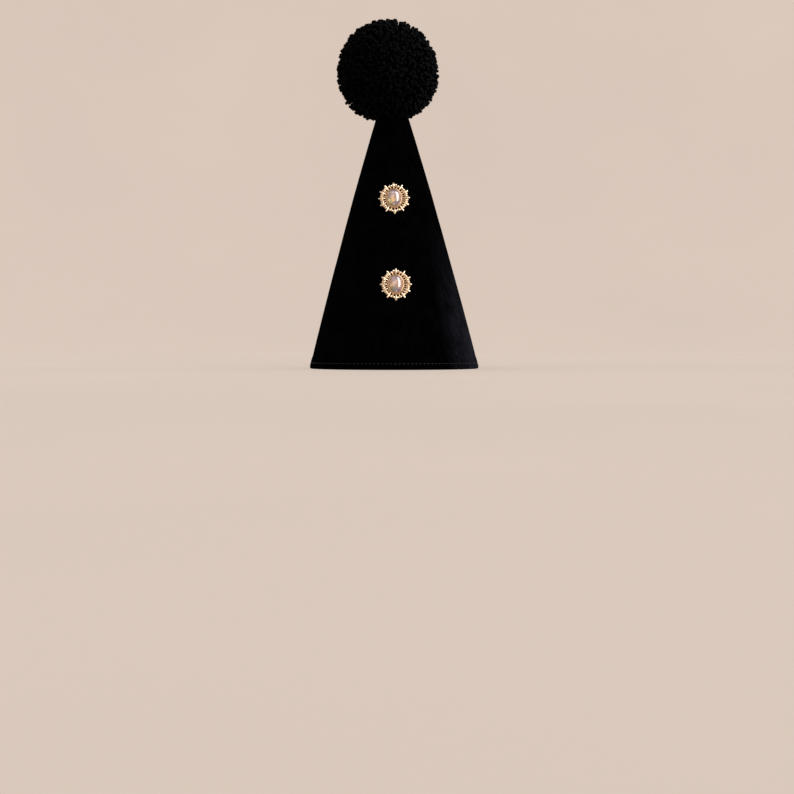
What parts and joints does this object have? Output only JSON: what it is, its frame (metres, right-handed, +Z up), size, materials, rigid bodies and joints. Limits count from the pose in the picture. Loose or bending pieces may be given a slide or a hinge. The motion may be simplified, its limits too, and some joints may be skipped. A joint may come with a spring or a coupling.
{
  "type": "party hat",
  "caption": "Tall black velvet cone party hat with a bound rim, a yarn pompom on its tip and jewelled oval brooches down the front, standing on its rim.",
  "frame": {"origin": "middle of the rim, on the surface that the hat stands on", "axes": "+Z up along the cone to the pompom, the brooches face -Y, +X to the wearer's left"},
  "size_m": [0.1512, 0.1512, 0.3128],
  "materials": {
    "velvet": "black velvet pile",
    "binding_velvet": "black velvet folded over the rim and topstitched",
    "yarn": "cut black wool yarn",
    "gold": "bright gold plate",
    "opal": "polished domed opal",
    "clutch_steel": "plain"
  },
  "bodies": {
    "root": {"cone_shell": "velvet", "rim_binding": "binding_velvet", "pompom": "yarn", "upper_brooch_frame": "gold", "upper_cabochon": "opal", "upper_pin_clutch": "clutch_steel", "lower_brooch_frame": "gold", "lower_cabochon": "opal", "lower_pin_clutch": "clutch_steel"}
  },
  "joints": []
}
